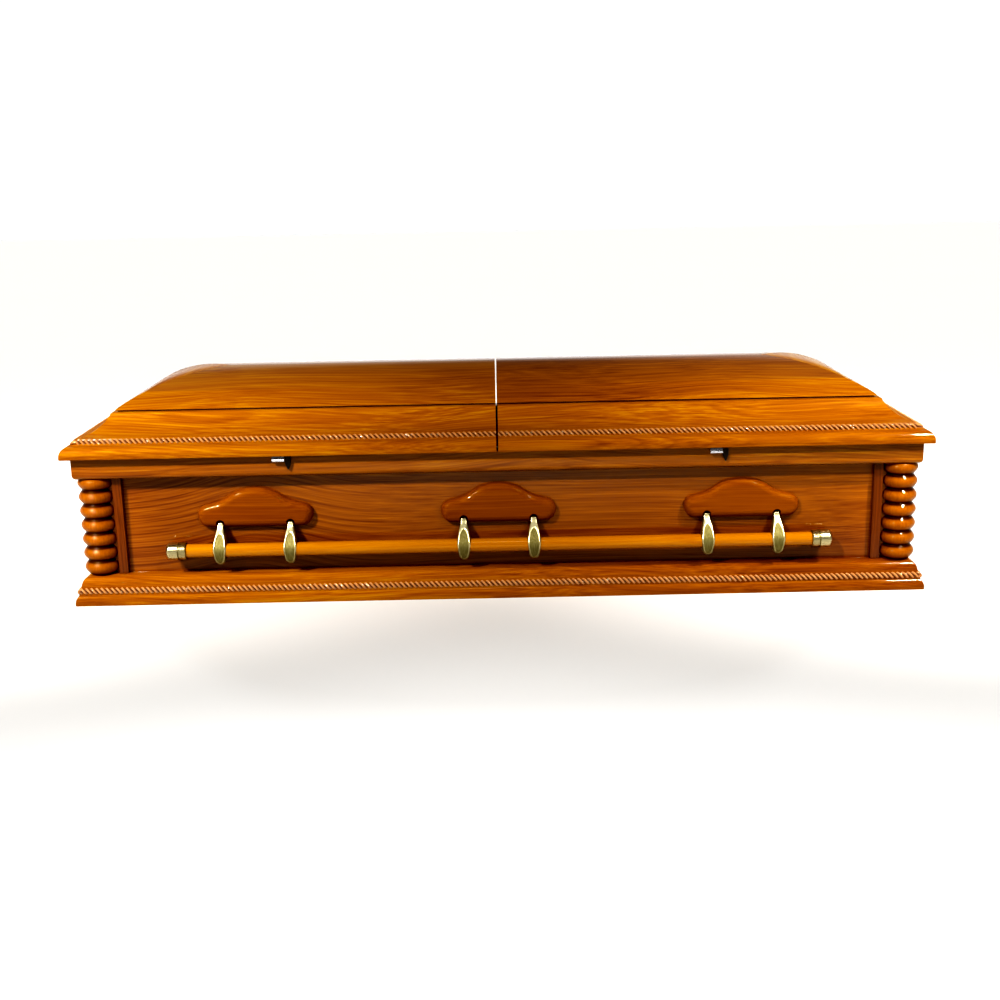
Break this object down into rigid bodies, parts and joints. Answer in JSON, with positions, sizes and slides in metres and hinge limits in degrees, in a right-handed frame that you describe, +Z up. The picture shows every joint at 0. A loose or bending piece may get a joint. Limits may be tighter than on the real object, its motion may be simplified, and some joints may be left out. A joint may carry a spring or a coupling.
{
  "type": "wooden casket",
  "caption": "Varnished wooden casket with a domed lid in two hinged halves, turned corner columns, rope mouldings and swinging bar handles on brass arms along both sides.",
  "frame": {"origin": "middle of the underside", "axes": "+X along the length, -Y to the front where the catches are, +Z up"},
  "size_m": [2.1, 0.71, 0.541],
  "materials": {
    "varnished_wood": "glossy varnish over orange-brown grain",
    "bar_wood": "glossy varnish, lighter and yellower than the box",
    "antique_brass": "polished antique brass, darker in its hollows",
    "hinge_brass": "satin brass",
    "catch_steel": "bright plated steel",
    "dark_steel": "dark bronzed"
  },
  "bodies": {
    "box": {"back_ear_1": "varnished_wood", "back_ear_2": "varnished_wood", "back_ear_3": "varnished_wood", "back_panel": "varnished_wood", "base_moulding": "varnished_wood", "base_rope": "varnished_wood", "bottom_board": "varnished_wood", "catch_keeper_left": "dark_steel", "catch_keeper_right": "dark_steel", "column_back_left": "varnished_wood", "column_back_right": "varnished_wood", "column_front_left": "varnished_wood", "column_front_right": "varnished_wood", "front_ear_1": "varnished_wood", "front_ear_2": "varnished_wood", "front_ear_3": "varnished_wood", "front_panel": "varnished_wood", "hinge_rail_leaf_left": "hinge_brass", "hinge_rail_leaf_right": "hinge_brass", "left_end_panel": "varnished_wood", "right_end_panel": "varnished_wood", "strip_back_left": "varnished_wood", "strip_back_right": "varnished_wood", "strip_end_back_left": "varnished_wood", "strip_end_back_right": "varnished_wood", "strip_end_front_left": "varnished_wood", "strip_end_front_right": "varnished_wood", "strip_front_left": "varnished_wood", "strip_front_right": "varnished_wood", "top_rail": "varnished_wood"},
    "lid_left": {"hinge_lid_leaf_left": "hinge_brass", "lid_catch_left": "catch_steel", "lid_crown_left": "varnished_wood", "lid_rim_left": "varnished_wood", "lid_rope_left": "varnished_wood"},
    "lid_right": {"hinge_lid_leaf_right": "hinge_brass", "lid_catch_right": "catch_steel", "lid_crown_right": "varnished_wood", "lid_rim_right": "varnished_wood", "lid_rope_right": "varnished_wood"},
    "handle_front": {"front_arm_1": "antique_brass", "front_arm_2": "antique_brass", "front_arm_3": "antique_brass", "front_arm_4": "antique_brass", "front_arm_5": "antique_brass", "front_arm_6": "antique_brass", "front_bar": "bar_wood", "front_bar_cap_1": "antique_brass", "front_bar_cap_2": "antique_brass"},
    "handle_back": {"back_arm_1": "antique_brass", "back_arm_2": "antique_brass", "back_arm_3": "antique_brass", "back_arm_4": "antique_brass", "back_arm_5": "antique_brass", "back_arm_6": "antique_brass", "back_bar": "bar_wood", "back_bar_cap_1": "antique_brass", "back_bar_cap_2": "antique_brass"}
  },
  "joints": [
    {"name": "lid_left_hinge", "type": "hinge", "parent": "box", "child": "lid_left", "pos_m": [-0.52, 0.3378, 0.3642], "axis": [-1, 0, 0], "range_deg": [0, 95]},
    {"name": "lid_right_hinge", "type": "hinge", "parent": "box", "child": "lid_right", "pos_m": [0.52, 0.3378, 0.3642], "axis": [-1, 0, 0], "range_deg": [0, 95]},
    {"name": "handle_front_swing", "type": "hinge", "parent": "box", "child": "handle_front", "pos_m": [0, -0.309, 0.19], "axis": [-1, 0, 0], "range_deg": [0, 70]},
    {"name": "handle_back_swing", "type": "hinge", "parent": "box", "child": "handle_back", "pos_m": [0, 0.309, 0.19], "axis": [1, 0, 0], "range_deg": [0, 70]}
  ]
}
